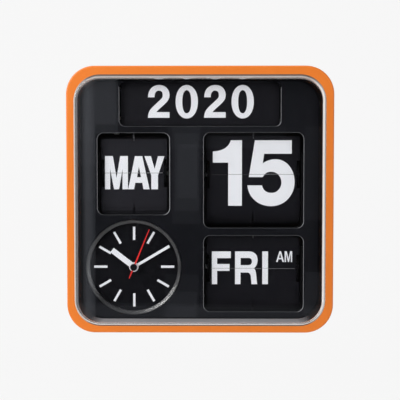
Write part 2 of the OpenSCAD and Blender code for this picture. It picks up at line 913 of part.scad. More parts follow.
module battery_spring() {
  start = cell_x - bay_half_x;
  long = bay_half_x - cell_len / 2;
  color(c_steel) {
    block([start, cell_y - 6, cell_d - 5], [start + 0.5, cell_y + 6, bay_in]);
    translate([start + 0.8, cell_y, cell_d])
      tube(coil(5, 3, 4, long - 1.2), 0.4, [1, 0, 0], 6);
  }
}

module battery_contact() {
  end = cell_x + bay_half_x;
  color(c_steel) {
    block([end - 0.5, cell_y - 6, cell_d - 5], [end, cell_y + 6, bay_in]);
    rod_x(3, cell_x + cell_len / 2 + 1, end - 0.4, cell_y, cell_d);
  }
}

module battery_wires() {
  color(c_red)
    for (i = [-1, 1]) {
      from = [cell_x + i * (bay_half_x - 2), cell_y + bay_half_y - 2, bay_in - 0.5];
      to = [left_x + i * 14, dial_y - 18, move_rear];
      tube([for (k = [0:20]) bend(from, from + [0, 0, 14], to - [0, 0, 12], to, k / 20)], 0.6, [1, 0, 0]);
    }
}

module hour_wheel() {
  color(c_brass)
    translate([left_x, dial_y, 0])
      difference() {
        union() {
          plate(dial_back - 5, dial_back - 3.5)
            gear_outline(40, 0.48, -90 + 4.5, 0.12);
          disc(pipe_r, dial_back - 5, dial_front + 2.2);
        }
        disc(cannon_r + run_gap, dial_back - 6, dial_front + 3);
      }
}

module cannon_pinion() {
  color(c_steel)
    translate([left_x, dial_y, 0])
      difference() {
        union() {
          plate(move_rear + 5, move_rear + 8)
            gear_outline(12, 0.5, -90 + 15, 0.12);
          disc(cannon_r, move_rear + 3.6, dial_front + 3.8);
        }
        disc(second_r + run_gap, move_rear, dial_front + 5);
      }
}

module minute_wheel() {
  color(c_brass)
    translate([left_x, time_y, 0])
      union() {
        plate(move_rear + 5.6, move_rear + 7.2)
          gear_outline(36, 0.5, 90, 0.12);
        plate(dial_back - 5.6, dial_back - 3)
          gear_outline(10, 0.48, 90, 0.12);
        disc(0.9, dial_back - 3.1, dial_back - 0.7);
        disc(1.5, move_rear + 7, dial_back - 5.5);
        disc(stem_r, cover_out - 2, move_rear + 6);
      }
}

module second_arbor() {
  color(c_steel)
    translate([left_x, dial_y, 0])
      disc(second_r, move_rear + 0.8, dial_front + 5.2);
}

// a straight hand of stated reach and tail, with a round boss
module hand(angle, reach, tail, w0, w1, boss, bore, d0, d1) {
  translate([left_x, dial_y, 0])
    rotate([0, 0, -angle])
      difference() {
        union() {
          plate(d0, d1)
            polygon([[-w0 / 2, -tail], [w0 / 2, -tail], [w1 / 2, reach], [-w1 / 2, reach]]);
          disc(boss, d0, d1);
        }
        disc(bore, d0 - 1, d1 + 1);
      }
}

module hour_hand() {
  color(c_white)
    hand(hour_angle, hour_reach, 0, 5, 5, 4.2, pipe_r, dial_front + 1.4, dial_front + 2);
}

module minute_hand() {
  color(c_white)
    hand(minute_angle, minute_reach, 0, 2.4, 2.4, 4.2, cannon_r, dial_front + 3, dial_front + 3.6);
}

module second_hand() {
  color(c_red)
    hand(second_angle, second_reach, 11, 1.6, 1.2, 2.4, second_r, dial_front + 4.5, dial_front + 4.9);
}

module hand_cap() {
  color(c_black)
    translate([left_x, dial_y, 0])
      difference() {
        disc(3.1, dial_front + 4.9, dial_front + 6.2);
        disc(second_r, dial_front + 4, dial_front + 5.2);
      }
}

module time_knob() {
  color(c_white)
    translate([left_x, time_y, 0])
      difference() {
        union() {
          disc(6, cover_out - 2.6, cover_out - 0.4);
          for (k = [0:15])
            rotate([0, 0, 22.5 * k])
              translate([6, 0, 0])
                disc(0.5, cover_out - 2.6, cover_out - 0.4);
        }
        disc(stem_r, cover_out - 2, cover_out + 1);
      }
}

module battery_door() {
  color(c_black)
    difference() {
      union() {
        block([cell_x - bay_half_x - 2 + slip_gap, cell_y - bay_half_y - 2 + slip_gap, cover_out],
              [cell_x + bay_half_x + 2 - slip_gap, cell_y + bay_half_y + 2 - slip_gap, cover_out + 1.4]);
        block([cell_x - bay_half_x + slip_gap, cell_y - bay_half_y + slip_gap, cover_out + 1.3],
              [cell_x + bay_half_x - slip_gap, cell_y + bay_half_y - slip_gap, cover_out + door_thick]);
      }
      for (i = [-2:2])
        block([cell_x + bay_half_x - 10 + 2 * i, cell_y - 5, cover_out - 1],
              [cell_x + bay_half_x - 9 + 2 * i, cell_y + 5, cover_out + 0.5]);
    }
}

module month_leaf_stop() {
  leaf_stop(left_end, month_split, month_leaf_h, month_top);
}

module date_leaf_stop() {
  leaf_stop(right_x, date_split, date_leaf_h, date_top);
}

module day_leaf_stop() {
  leaf_stop(right_x, day_split, day_leaf_h, day_top);
}

module month_drum() {
  drum(left_end, month_n, month_leaf_w, month_split);
}

module month_drum_shaft() {
  drum_shaft(left_end, month_leaf_w, month_split, 1);
}

module month_drum_gear() {
  drum_gear(month_gear_x(), month_split);
}

module month_leaf_pack() {
  leaf_pack(left_end, month_n, month_leaf_w, month_leaf_h, month_split);
}

module month_flip_leaf() {
  flip_leaf(left_end, month_n, month_leaf_w, month_leaf_h, month_split);
}

module month_setting_wheel() {
  setting_wheel(month_gear_x(), month_split);
}

module date_drum() {
  drum(right_x, date_n, wide_leaf_w, date_split);
}

module date_drum_shaft() {
  drum_shaft(right_x, wide_leaf_w, date_split, -1);
}

module date_drum_gear() {
  drum_gear(wide_gear_x(), date_split);
}

module date_leaf_pack() {
  leaf_pack(right_x, date_n, wide_leaf_w, date_leaf_h, date_split);
}

module date_flip_leaf() {
  flip_leaf(right_x, date_n, wide_leaf_w, date_leaf_h, date_split);
}

module date_setting_wheel() {
  setting_wheel(wide_gear_x(), date_split);
}

module day_drum() {
  drum(right_x, day_n, wide_leaf_w, day_split);
}

module day_drum_shaft() {
  drum_shaft(right_x, wide_leaf_w, day_split, -1);
}

module day_drum_gear() {
  drum_gear(wide_gear_x(), day_split);
}

module day_leaf_pack() {
  leaf_pack(right_x, day_n, wide_leaf_w, day_leaf_h, day_split);
}

module day_flip_leaf() {
  flip_leaf(right_x, day_n, wide_leaf_w, day_leaf_h, day_split);
}

module day_setting_wheel() {
  setting_wheel(wide_gear_x(), day_split);
}

rotate([90, 0, 0]) {
  casing();
  front_lens();
  dial_panel();
  clock_dial();
  dial_ring();
  hour_markers();
  rear_cover();
  rear_cover_screws();
  panel_screws();
  movement_front_shell();
  movement_rear_shell();
  movement_screws();
  month_frame();
  date_frame();
  day_frame();
  frame_screws();
  month_leaf_stop();
  date_leaf_stop();
  day_leaf_stop();
  year_frame();
  year_tape();
  battery_cell();
  battery_spring();
  battery_contact();
  battery_wires();
  hour_wheel();
  hour_hand();
  cannon_pinion();
  minute_hand();
  second_arbor();
  second_hand();
  hand_cap();
  minute_wheel();
  time_knob();
  month_drum();
  month_drum_shaft();
  month_drum_gear();
  month_leaf_pack();
  month_flip_leaf();
  month_setting_wheel();
  date_drum();
  date_drum_shaft();
  date_drum_gear();
  date_leaf_pack();
  date_flip_leaf();
  date_setting_wheel();
  day_drum();
  day_drum_shaft();
  day_drum_gear();
  day_leaf_pack();
  day_flip_leaf();
  day_setting_wheel();
  upper_spool();
  lower_spool();
  year_wheel();
  battery_door();
}
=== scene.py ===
import json
import math

import bpy
from mathutils import Matrix, Vector

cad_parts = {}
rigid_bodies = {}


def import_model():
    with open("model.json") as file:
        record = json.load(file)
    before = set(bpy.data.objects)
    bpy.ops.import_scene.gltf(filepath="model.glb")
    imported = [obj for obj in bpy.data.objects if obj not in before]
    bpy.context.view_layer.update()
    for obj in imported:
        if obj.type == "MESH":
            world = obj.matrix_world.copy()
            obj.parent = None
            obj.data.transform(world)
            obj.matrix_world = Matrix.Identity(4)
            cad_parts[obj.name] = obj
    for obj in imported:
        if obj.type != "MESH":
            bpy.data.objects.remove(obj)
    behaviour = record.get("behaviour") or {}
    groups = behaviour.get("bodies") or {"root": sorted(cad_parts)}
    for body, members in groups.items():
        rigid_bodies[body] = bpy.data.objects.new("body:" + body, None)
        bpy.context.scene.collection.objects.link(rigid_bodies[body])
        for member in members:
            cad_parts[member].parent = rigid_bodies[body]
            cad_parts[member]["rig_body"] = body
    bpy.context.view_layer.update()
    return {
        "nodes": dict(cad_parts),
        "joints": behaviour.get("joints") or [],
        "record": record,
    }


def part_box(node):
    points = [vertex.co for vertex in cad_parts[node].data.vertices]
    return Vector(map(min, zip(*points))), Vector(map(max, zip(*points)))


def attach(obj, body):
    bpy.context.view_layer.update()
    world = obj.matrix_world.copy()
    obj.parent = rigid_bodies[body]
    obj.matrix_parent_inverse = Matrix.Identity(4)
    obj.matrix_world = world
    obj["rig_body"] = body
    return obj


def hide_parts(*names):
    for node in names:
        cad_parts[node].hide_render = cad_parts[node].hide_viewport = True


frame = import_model()
print("clock frame loaded:", len(frame["nodes"]), "nodes")

scene = bpy.context.scene
scene.view_settings.view_transform = "Standard"
mm = 0.001
nodes = frame["nodes"]
subparts = {part["node"]: part for part in frame["record"]["subparts"]}


# small hand tools

def dropSelection():
    if bpy.context.object and bpy.context.object.mode != "OBJECT":
        bpy.ops.object.mode_set(mode="OBJECT")
    bpy.ops.object.select_all(action="DESELECT")


def pick(obj):
    dropSelection()
    obj.select_set(True)
    bpy.context.view_layer.objects.active = obj


def openMesh(obj, action="SELECT"):
    pick(obj)
    bpy.ops.object.mode_set(mode="EDIT")
    bpy.ops.mesh.select_all(action=action)


def closeMesh():
    bpy.ops.object.mode_set(mode="OBJECT")


def settle(obj):
    pick(obj)  # place goes into the mesh, the object ends at the origin
    bpy.ops.object.transform_apply(location=True, rotation=True, scale=True)


def standUp(obj, place, degrees=90):
    obj.matrix_world = Matrix.Translation(place) @ Matrix.Rotation(math.radians(degrees), 4, "X")
    settle(obj)


def aimAt(obj, spec):
    obj.location = spec["at"]
    obj.rotation_euler = (Vector(spec["aim"]) - Vector(spec["at"])).to_track_quat("-Z", "Y").to_euler()


def applyAll(obj):
    pick(obj)
    for mod in list(obj.modifiers):
        bpy.ops.object.modifier_apply(modifier=mod.name)


def smoothByAngle(obj, degrees):
    pick(obj)
    bpy.ops.object.shade_smooth_by_angle(angle=math.radians(degrees))


def solidCopy(node, name):
    obj = bpy.data.objects.new(name, nodes[node].data.copy())
    scene.collection.objects.link(obj)
    return obj


def jointAt(name):
    return Vector(next(j["pos_m"] for j in frame["joints"] if j["name"] == name))


def finishPiece(obj, material, body, stands=()):
    obj.data.materials.clear()
    obj.data.materials.append(material)
    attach(obj, body)
    for name in stands:
        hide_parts(name)


# node helpers for the finishes and the room

def mathNode(tree, operation, a, b):
    node = tree.nodes.new("ShaderNodeMath")
    node.operation = operation
    for socket, value in zip(node.inputs, (a, b)):
        if isinstance(value, (int, float)):
            socket.default_value = value
        else:
            tree.links.new(value, socket)
    return node.outputs[0]


def mixNode(tree, share, a, b):
    node = tree.nodes.new("ShaderNodeMixShader")
    tree.links.new(share, node.inputs["Fac"])
    tree.links.new(a, node.inputs[1])
    tree.links.new(b, node.inputs[2])
    return node.outputs["Shader"]


def seenBy(tree, rays):
    path = tree.nodes.new("ShaderNodeLightPath").outputs
    seen = path[rays[0]]
    for ray in rays[1:]:
        seen = mathNode(tree, "MAXIMUM", seen, path[ray])
    first = mathNode(tree, "LESS_THAN", path["Diffuse Depth"], 0.5)  # not light bounced off a matt surface
    return mathNode(tree, "MULTIPLY", seen, first)


class Finish:
    def __init__(self, name):
        self.mat = bpy.data.materials.new(name)
        self.mat.use_nodes = True
        self.tree = self.mat.node_tree
        self.shader = self.tree.nodes["Principled BSDF"]
        self.output = self.tree.nodes["Material Output"]
        self.place = self.add("ShaderNodeTexCoord").outputs["Object"]

    def add(self, kind, **values):
        node = self.tree.nodes.new(kind)
        for key, value in values.items():
            if hasattr(node, key):
                setattr(node, key, value)
            else:
                node.inputs[key].default_value = value
        return node

    def join(self, a, b):
        self.tree.links.new(a, b)

    def axes(self):
        part = self.add("ShaderNodeSeparateXYZ")
        self.join(self.place, part.inputs[0])
        return part.outputs

    def noise(self, scale, detail, stretch=None):
        tex = self.add("ShaderNodeTexNoise", Scale=scale, Detail=detail, Roughness=0.5)
        source = self.place
        if stretch:
            turn = self.add("ShaderNodeMapping", Scale=stretch)
            self.join(self.place, turn.inputs["Vector"])
            source = turn.outputs["Vector"]
        self.join(source, tex.inputs["Vector"])
        return tex.outputs["Fac"]

    def ramp(self, source, low, high):
        r = self.add("ShaderNodeValToRGB")
        for stop, at, shade in zip(r.color_ramp.elements, (0.3, 0.7), (low, high)):
            stop.position = at
            stop.color = (*shade, 1)
        self.join(source, r.inputs["Fac"])
        return r.outputs["Color"]

    def spread(self, source, low, high):
        m = self.add("ShaderNodeMapRange")
        for name, value in (("From Min", 0.3), ("From Max", 0.7), ("To Min", low), ("To Max", high)):
            m.inputs[name].default_value = value
        self.join(source, m.inputs["Value"])
        return m.outputs["Result"]

    def steps(self, source, low, high, stops):
        span = self.add("ShaderNodeMapRange")
        span.inputs["From Min"].default_value = low
        span.inputs["From Max"].default_value = high
        self.join(source, span.inputs["Value"])
        r = self.add("ShaderNodeValToRGB")
        line = r.color_ramp.elements
        for i, (at, level) in enumerate(stops):
            stop = line[i] if i < 2 else line.new(1.0)
            stop.position = (at - low) / (high - low)
            stop.color = (level, level, level, 1)
        self.join(span.outputs["Result"], r.inputs["Fac"])
        return r.outputs["Color"]

    def math(self, operation, a, b=0):
        return mathNode(self.tree, operation, a, b)

    def times(self, *factors):
        product = factors[0]
        for factor in factors[1:]:
            product = self.math("MULTIPLY", product, factor)
        return product

    def rest(self, share):
        return self.math("SUBTRACT", 1.0, share)

    def either(self, share, a, b):
        return self.math("ADD", self.times(a, self.rest(share)), self.times(b, share))

    def tint(self, share, base, tone):
        m = self.add("ShaderNodeMix", data_type="RGBA")
        self.join(share, m.inputs["Factor"])
        self.join(base, m.inputs["A"])
        m.inputs["B"].default_value = (*tone, 1)
        return m.outputs["Result"]

    def coat(self, share, skin, tone):
        matt = self.add("ShaderNodeBsdfDiffuse", Color=(*tone, 1))
        return mixNode(self.tree, share, skin, matt.outputs["BSDF"])

    def colour(self, socket):
        self.join(socket, self.shader.inputs["Base Color"])

    def roughness(self, socket):
        self.join(socket, self.shader.inputs["Roughness"])

    def surface(self, socket):
        self.join(socket, self.output.inputs["Surface"])

    def bump(self, source, strength, depth):
        b = self.add("ShaderNodeBump", Strength=strength, Distance=depth)
        self.join(source, b.inputs["Height"])
        self.join(b.outputs["Normal"], self.shader.inputs["Normal"])

    def set(self, **values):
        for key, value in values.items():
            self.shader.inputs[key.replace("_", " ")].default_value = value


# plastic: a cloud of two close shades, an uneven shine, a moulded grain, and a painted highlight where an
# attribute asks for it
moulding = {"cloud": (38, 4), "shine": (16, 3), "uneven": (-0.006, 0.010), "bump": 0.12, "index": 1.5,
            "paintedHighlight": (0.78, 0.79, 0.82)}
plastics = {
    "casingOrange": {"low": (0.77, 0.189, 0.0178), "high": (0.795, 0.2005, 0.0211), "rough": 0.38,
                     "grain": 2600, "depth": 0.00002},
    "panelBlack": {"low": (0.0038, 0.0041, 0.0062), "high": (0.0048, 0.0051, 0.0074), "rough": 0.50,
                   "grain": 1900, "depth": 0.000004, "sheen": 0.11, "rub": "paintedEdgeLight"},
    "dialBlack": {"low": (0.0022, 0.0022, 0.0038), "high": (0.0030, 0.0030, 0.0048), "rough": 0.50,
                  "grain": 3200, "depth": 0.000008, "sheen": 0.12},
    "leafBlack": {"low": (0.0036, 0.0034, 0.0058), "high": (0.0046, 0.0044, 0.0070), "rough": 0.46,
                  "grain": 2400, "depth": 0.000008, "sheen": 0.19},
    # painted light: a lighter copy of the leaf black for the month leaves, which sit in the brighter light on the
    # left
    "monthBlackLit": {"low": (0.0116, 0.0113, 0.0152), "high": (0.0130, 0.0127, 0.0168), "rough": 0.46,
                   "grain": 2400, "depth": 0.000008, "sheen": 0.19},
    "tapeBlack": {"low": (0.0056, 0.0054, 0.0080), "high": (0.0068, 0.0066, 0.0094), "rough": 0.42,
                  "grain": 1700, "depth": 0.000008, "sheen": 0.20},
    "shellBlack": {"low": (0.010, 0.010, 0.012), "high": (0.014, 0.014, 0.016), "rough": 0.48,
                   "grain": 1500, "depth": 0.00005, "sheen": 0.3},
    # painted shade: a darker copy of the shell black for the frames and drums, for the deep shade round the
    # leaves
    "frameBlackShaded": {"low": (0.0030, 0.0030, 0.0036), "high": (0.0042, 0.0042, 0.0050), "rough": 0.55,
                   "grain": 1500, "depth": 0.00005, "sheen": 0.06},
    "shellGrey": {"low": (0.075, 0.078, 0.085), "high": (0.095, 0.098, 0.105), "rough": 0.46,
                  "grain": 1500, "depth": 0.00005},
    "gearWhite": {"low": (0.72, 0.71, 0.67), "high": (0.80, 0.79, 0.75), "rough": 0.40,
                  "grain": 2200, "depth": 0.00002},
    "whitePrint": {"low": (0.815, 0.82, 0.855), "high": (0.855, 0.86, 0.895), "rough": 0.50,
                   "grain": 4200, "depth": 0.000004},
    "handRed": {"low": (0.70, 0.012, 0.010), "high": (0.80, 0.020, 0.016), "rough": 0.42,
                "grain": 2600, "depth": 0.00001},
    "cellJacket": {"low": (0.030, 0.045, 0.075), "high": (0.045, 0.065, 0.100), "rough": 0.28,
                   "grain": 900, "depth": 0.00002},
    "wireRed": {"low": (0.42, 0.012, 0.012), "high": (0.55, 0.022, 0.020), "rough": 0.45,
                "grain": 1800, "depth": 0.00002},
    "ringBlack": {"low": (0.012, 0.012, 0.014), "high": (0.016, 0.016, 0.018), "rough": 0.36,
                  "grain": 1900, "depth": 0.000004, "sheen": 1.0},
    # pale grey of the painted highlight along the leaves' cut edge
    "leafEdgeHighlight": {"low": (0.17, 0.17, 0.18), "high": (0.21, 0.21, 0.22), "rough": 0.46,
                 "grain": 2400, "depth": 0.000004},
}


def plainPlastic(name, low, high, rough, grain, depth, sheen=0.5, rub=None):
    f = Finish(name)
    base = f.ramp(f.noise(*moulding["cloud"]), low, high)
    # painted highlight: a pale tone mixed into the base by the attribute's share
    if rub:
        highlightAmount = f.add("ShaderNodeAttribute", attribute_name=rub)
        base = f.tint(highlightAmount.outputs["Fac"], base, moulding["paintedHighlight"])
    f.colour(base)
    less, more = moulding["uneven"]
    f.roughness(f.spread(f.noise(*moulding["shine"]), rough + less, rough + more))
    f.bump(f.noise(grain, 2), moulding["bump"], depth)
    f.set(IOR=moulding["index"], Specular_IOR_Level=sheen)
    return f.mat


# metal: fine turning lines, drawn out along the axis that isn't stretched
turning = {"cloud": (90, 3), "lines": (700, 2), "fineLines": (1500, 2), "uneven": (-0.06, 0.08),
           "bump": (0.15, 0.00002)}
metals = {
    "steelBright": {"low": (0.52, 0.53, 0.55), "high": (0.66, 0.67, 0.69), "rough": 0.30, "stretch": (1, 1, 12)},
    "steelDull": {"low": (0.10, 0.10, 0.11), "high": (0.15, 0.15, 0.16), "rough": 0.45, "stretch": (1, 1, 12)},
    "brassTurned": {"low": (0.62, 0.42, 0.14), "high": (0.74, 0.53, 0.21), "rough": 0.32, "stretch": (1, 10, 1)},
}


def turnedMetal(name, low, high, rough, stretch):
    f = Finish(name)
    f.colour(f.ramp(f.noise(*turning["cloud"]), low, high))
    less, more = turning["uneven"]
    f.roughness(f.spread(f.noise(*turning["lines"], stretch), rough + less, rough + more))
    f.bump(f.noise(*turning["fineLines"], stretch), *turning["bump"])
    f.set(Metallic=1.0)
    return f.mat


# clear lens, sizes in metres; "out" is the distance from the straight run of a side, on its corners too
lensClearness = {
    "straight": 0.08625,  # half of the straight run
    "wall": 0.0200,  # out to the inner wall
    "front": 0.0920,  # depth at which the front's edge begins
    "root": 0.0702,  # depth at which the walls go into the casing
    "floor": 0.098,  # the lower wall, below the middle
    "floorEnd": {"reach": 0.02, "stops": [(0.0, 1.0), (0.011, 0.0)]},  # its painted reflection stops at the corners
    "corner": 0.012,  # over which a side's edge turns into the next one's
    "clear": ((0.975, 0.982, 0.985), (0.992, 0.995, 0.996)), "cloud": (22, 2),
    "index": 1.49, "haze": (0.0, 0.003), "hazeCloud": (60, 4),
    "wallShadeTone": (0.0008, 0.0008, 0.0008), "lowAngle": [(0.42, 0.0), (0.74, 1.0)],
    # painted highlight: a pale matt coat on the front's cut edge for the light the edge bends and mirrors, set
    # for each side by the distance out
    "rim": (0.0180, 0.0230), "rimHighlightTone": (0.95, 0.91, 0.89),
    "left": [(0.0190, 0.0), (0.0194, 0.02), (0.0203, 0.03), (0.0212, 0.32), (0.0220, 0.46)],
    "right": [(0.0193, 0.0), (0.0196, 0.58), (0.0204, 1.0), (0.0213, 0.82), (0.0222, 0.33), (0.0226, 0.10)],
    "top": [(0.0181, 0.0), (0.0185, 0.04), (0.0190, 0.13), (0.0197, 0.10), (0.0203, 0.38), (0.0209, 0.40)],
    "bottom": [(0.0199, 0.0), (0.0204, 0.08), (0.0206, 1.0), (0.0211, 1.0)],
    # painted highlight: the grey band inside the left edge, for the edge's fading light; painted shadow: the dark
    # line above and below, in the gap to the casing; painted reflection: the pale film on the lower wall, by
    # depth, for the light that wall mirrors from above
    "leftEdgeFade": [(0.0189, 0.0), (0.0193, 0.75), (0.0203, 0.75), (0.0208, 0.0)], "leftEdgeFadeTone": (0.13, 0.128, 0.132),
    "lip": {"top": 0.0209, "bottom": 0.0211, "share": 0.9}, "gapShadowTone": (0.11, 0.075, 0.055),
    "lowWallReflection": [(0.0640, 0.0), (0.0718, 0.0), (0.0726, 0.46), (0.0770, 0.42), (0.0920, 0.44)],
    "lowWallReflectionTone": (0.68, 0.66, 0.68),
    "through": (0.96, 0.965, 0.97, 1),  # light that passes
}


def clearPlastic(name, spec):
    f = Finish(name)
    x, y, z = f.axes()
    wide = f.math("ABSOLUTE", x)
    tall = f.math("ABSOLUTE", z)
    beyondX = f.math("MAXIMUM", f.math("SUBTRACT", wide, spec["straight"]), 0.0)
    beyondZ = f.math("MAXIMUM", f.math("SUBTRACT", tall, spec["straight"]), 0.0)
    out = f.math("SQRT", f.math("ADD", f.times(beyondX, beyondX), f.times(beyondZ, beyondZ)))
    rightward = f.math("GREATER_THAN", x, 0.0)
    upward = f.math("GREATER_THAN", z, 0.0)
    turn = spec["corner"]
    upDown = f.steps(f.math("SUBTRACT", tall, wide), -turn, turn, [(-turn, 0.0), (turn, 1.0)])
    onFront = f.math("LESS_THAN", y, -spec["front"])
    onSide = f.times(f.math("GREATER_THAN", out, spec["wall"]), f.rest(onFront))
    onFloor = f.times(onSide, f.math("LESS_THAN", z, -spec["floor"]),
                      f.steps(beyondX, 0.0, spec["floorEnd"]["reach"], spec["floorEnd"]["stops"]))

    slant = f.add("ShaderNodeLayerWeight", Blend=0.5)  # painted shade: the walls are clear face on and darken at a low angle, for the shaded gap between them and the casing
    lowAngle = f.steps(slant.outputs["Facing"], 0.0, 1.0, spec["lowAngle"])
    # painted shade where the walls sit inside the casing
    hidden = f.math("GREATER_THAN", y, -spec["root"])
    dark = f.times(onSide, f.math("MAXIMUM", lowAngle, hidden))
    f.colour(f.tint(dark, f.ramp(f.noise(*spec["cloud"]), *spec["clear"]), spec["wallShadeTone"]))
    f.roughness(f.spread(f.noise(*spec["hazeCloud"]), *spec["haze"]))
    f.set(IOR=spec["index"], Transmission_Weight=1.0)

    # painted highlight along the front's cut edge, a different strength on each side
    pale = {side: f.steps(out, *spec["rim"], spec[side]) for side in ("left", "right", "top", "bottom")}
    across = f.either(rightward, pale["left"], pale["right"])
    rim = f.either(upDown, across, f.either(upward, pale["bottom"], pale["top"]))
    skin = f.coat(f.times(rim, onFront), f.shader.outputs["BSDF"], spec["rimHighlightTone"])
    # painted highlight: a mid-grey matt band inside the left edge, for the edge's fading light, laid over the
    # orange seen through the wall
    leftEdgeFade = f.steps(out, *spec["rim"], spec["leftEdgeFade"])
    skin = f.coat(f.times(leftEdgeFade, onFront, f.rest(upDown), f.rest(rightward)), skin, spec["leftEdgeFadeTone"])
    # painted shadow of the gap between lens and casing, above and below
    lowGapShadow = f.math("GREATER_THAN", out, spec["lip"]["bottom"])
    highGapShadow = f.math("GREATER_THAN", out, spec["lip"]["top"])
    lip = f.times(f.either(upward, lowGapShadow, highGapShadow), onFront, upDown, spec["lip"]["share"])
    skin = f.coat(lip, skin, spec["gapShadowTone"])
    # painted reflection: a pale matt film on the lower wall, by depth, for the light it mirrors from above
    lowWallShare = f.steps(f.times(y, -1.0), spec["lowWallReflection"][0][0], spec["lowWallReflection"][-1][0], spec["lowWallReflection"])
    skin = f.coat(f.times(lowWallShare, onFloor), skin, spec["lowWallReflectionTone"])

    thin = f.add("ShaderNodeBsdfTransparent", Color=spec["through"])
    path = f.add("ShaderNodeLightPath").outputs  # light passes straight through, sight rays bend
    straight = f.math("MAXIMUM", path["Is Shadow Ray"], path["Is Diffuse Ray"])
    f.surface(mixNode(f.tree, straight, skin, thin.outputs["BSDF"]))
    return f.mat


finishes = {name: plainPlastic(name, **spec) for name, spec in plastics.items()}
finishes.update({name: turnedMetal(name, **spec) for name, spec in metals.items()})
finishes["lensClear"] = clearPlastic("lensClear", lensClearness)
slotLook = {
    "casing_orange": "casingOrange", "clear_lens": "lensClear", "panel_black": "panelBlack",
    "dial_black": "dialBlack", "leaf_black": "leafBlack", "tape_black": "tapeBlack",
    "shell_black": "shellBlack", "shell_grey": "shellGrey", "gear_white": "gearWhite",
    "white_print": "whitePrint", "hand_red": "handRed", "ring_black": "ringBlack", "steel": "steelBright",
    "brass": "brassTurned", "cell_jacket": "cellJacket", "wire_red": "wireRed",
}
# the month leaves take the painted-light copy of the leaf black, the frames and drums the painted-shade copy of
# the shell black
ownLook = {"year_frame": "frameBlackShaded", "month_flip_leaf": "monthBlackLit", "month_leaf_pack": "monthBlackLit"}
for display in ("month", "date", "day"):
    ownLook[display + "_leaf_stop"] = "steelDull"
    ownLook[display + "_frame"] = ownLook[display + "_drum"] = "frameBlackShaded"
for node, part in subparts.items():
    skin = nodes[node].data.materials
    skin.clear()
    skin.append(finishes[ownLook.get(node, slotLook[part["material_slot"]])])
print("finishes on every node:", len(finishes))


# moulded pieces with broken edges, from a merged copy of the solid; widths in mm, angles in degrees
edgeWork = {"merge": 0.000002, "flat": 0.8, "angle": 40, "smooth": 35}
softEdges = {
    "dial_panel": {"name": "frontPanel", "width": 0.42, "steps": 3},
    "casing": {"name": "casingShell", "width": 0.35, "steps": 2},
    "rear_cover": {"name": "rearCover", "width": 0.35, "steps": 2},
}
# painted highlight lines on the panel's window edges, set by the side of the window and strongest at the
# lower-right corners that face the key lamp; none round the dial or at the top
panelEdgeLight = {"left": 0.32, "right": 0.26, "top": 0.10, "bottom": 0.06, "corner": 0.40, "month": 1.7,
             "dial": 46, "below": 100, "facing": (-0.98, -0.05)}


def paintEdgeLight(obj, rub):
    paintedHighlight = obj.data.attributes.new("paintedEdgeLight", "FLOAT", "FACE")
    dial = jointAt("minute_hand_turn")
    reach = rub["dial"] * mm
    steep, slight = rub["facing"]
    for face in obj.data.polygons:
        x, y, z = face.normal
        nearDial = math.hypot(face.center.x - dial.x, face.center.z - dial.z) < reach
        if nearDial or face.center.z > rub["below"] * mm or not steep < y < slight:
            continue
        level = math.hypot(x, z)
        x, z = x / level, z / level
        # painted highlight, set by which way the edge faces
        highlightAmount = (rub["left"] * max(x, 0) ** 2 + rub["right"] * max(-x, 0) ** 2
                + rub["bottom"] * max(z, 0) ** 2 + rub["top"] * max(-z, 0) ** 2
                + rub["corner"] * max(-x, 0) * max(z, 0))
        if face.center.x < dial.x + reach and x < 0:  # right edge of the month window
            highlightAmount *= rub["month"]
        paintedHighlight.data[face.index].value = highlightAmount


def roundEdges(node, spec):
    obj = solidCopy(node, spec["name"])
    pick(obj)
    bpy.ops.mesh.customdata_custom_splitnormals_clear()
    openMesh(obj)
    bpy.ops.mesh.remove_doubles(threshold=edgeWork["merge"])
    bpy.ops.mesh.dissolve_limited(angle_limit=math.radians(edgeWork["flat"]))
    closeMesh()
    edge = obj.modifiers.new("edge", "BEVEL")
    edge.limit_method = "ANGLE"
    edge.angle_limit = math.radians(edgeWork["angle"])
    edge.width = spec["width"] * mm
    edge.segments = spec["steps"]
    edge.use_clamp_overlap = False
    applyAll(obj)
    if node == "dial_panel":
        paintEdgeLight(obj, panelEdgeLight)
    smoothByAngle(obj, edgeWork["smooth"])
    flat = obj.modifiers.new("flat", "WEIGHTED_NORMAL")  # large flats stay flat
    flat.keep_sharp = True
    applyAll(obj)
    slotName = subparts[node]["material_slot"]
    finishPiece(obj, finishes[slotLook[slotName]], nodes[node]["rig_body"], [node])


for node, spec in softEdges.items():
    roundEdges(node, spec)
print("moulded edges broken:", len(softEdges))


# second hand with a fine blade, from a merged copy of the solid
fineHand = {"name": "secondBlade", "node": "second_hand", "hub": 2.45, "slim": 0.54}


def slimHand(spec):
    obj = solidCopy(spec["node"], spec["name"])
    openMesh(obj)
    bpy.ops.mesh.remove_doubles(threshold=edgeWork["merge"])
    closeMesh()
    hub = jointAt("second_hand_turn")
    tip = max((v.co - hub for v in obj.data.vertices), key=lambda d: d.length)
    along = Vector((tip.x, 0, tip.z)).normalized()
    across = Vector((-along.z, 0, along.x))
    for v in obj.data.vertices:
        if abs((v.co - hub).dot(along)) > spec["hub"] * mm:
            v.co -= across * (v.co - hub).dot(across) * (1 - spec["slim"])
    smoothByAngle(obj, edgeWork["smooth"])
    finishPiece(obj, finishes["handRed"], nodes[spec["node"]]["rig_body"], [spec["node"]])


slimHand(fineHand)
print("second hand slimmed")


# printed readings: outlines in mm about a display's middle and split line
# a knot is (x, z), or (x, z, in handle, out handle) on a curve
def ovalLoop(cx, cz, rx, rz, kx, kz):
    return [(cx, cz + rz, -kx, 0, kx, 0), (cx + rx, cz, 0, kz, 0, -kz),
            (cx, cz - rz, kx, 0, -kx, 0), (cx - rx, cz, 0, -kz, 0, kz)]


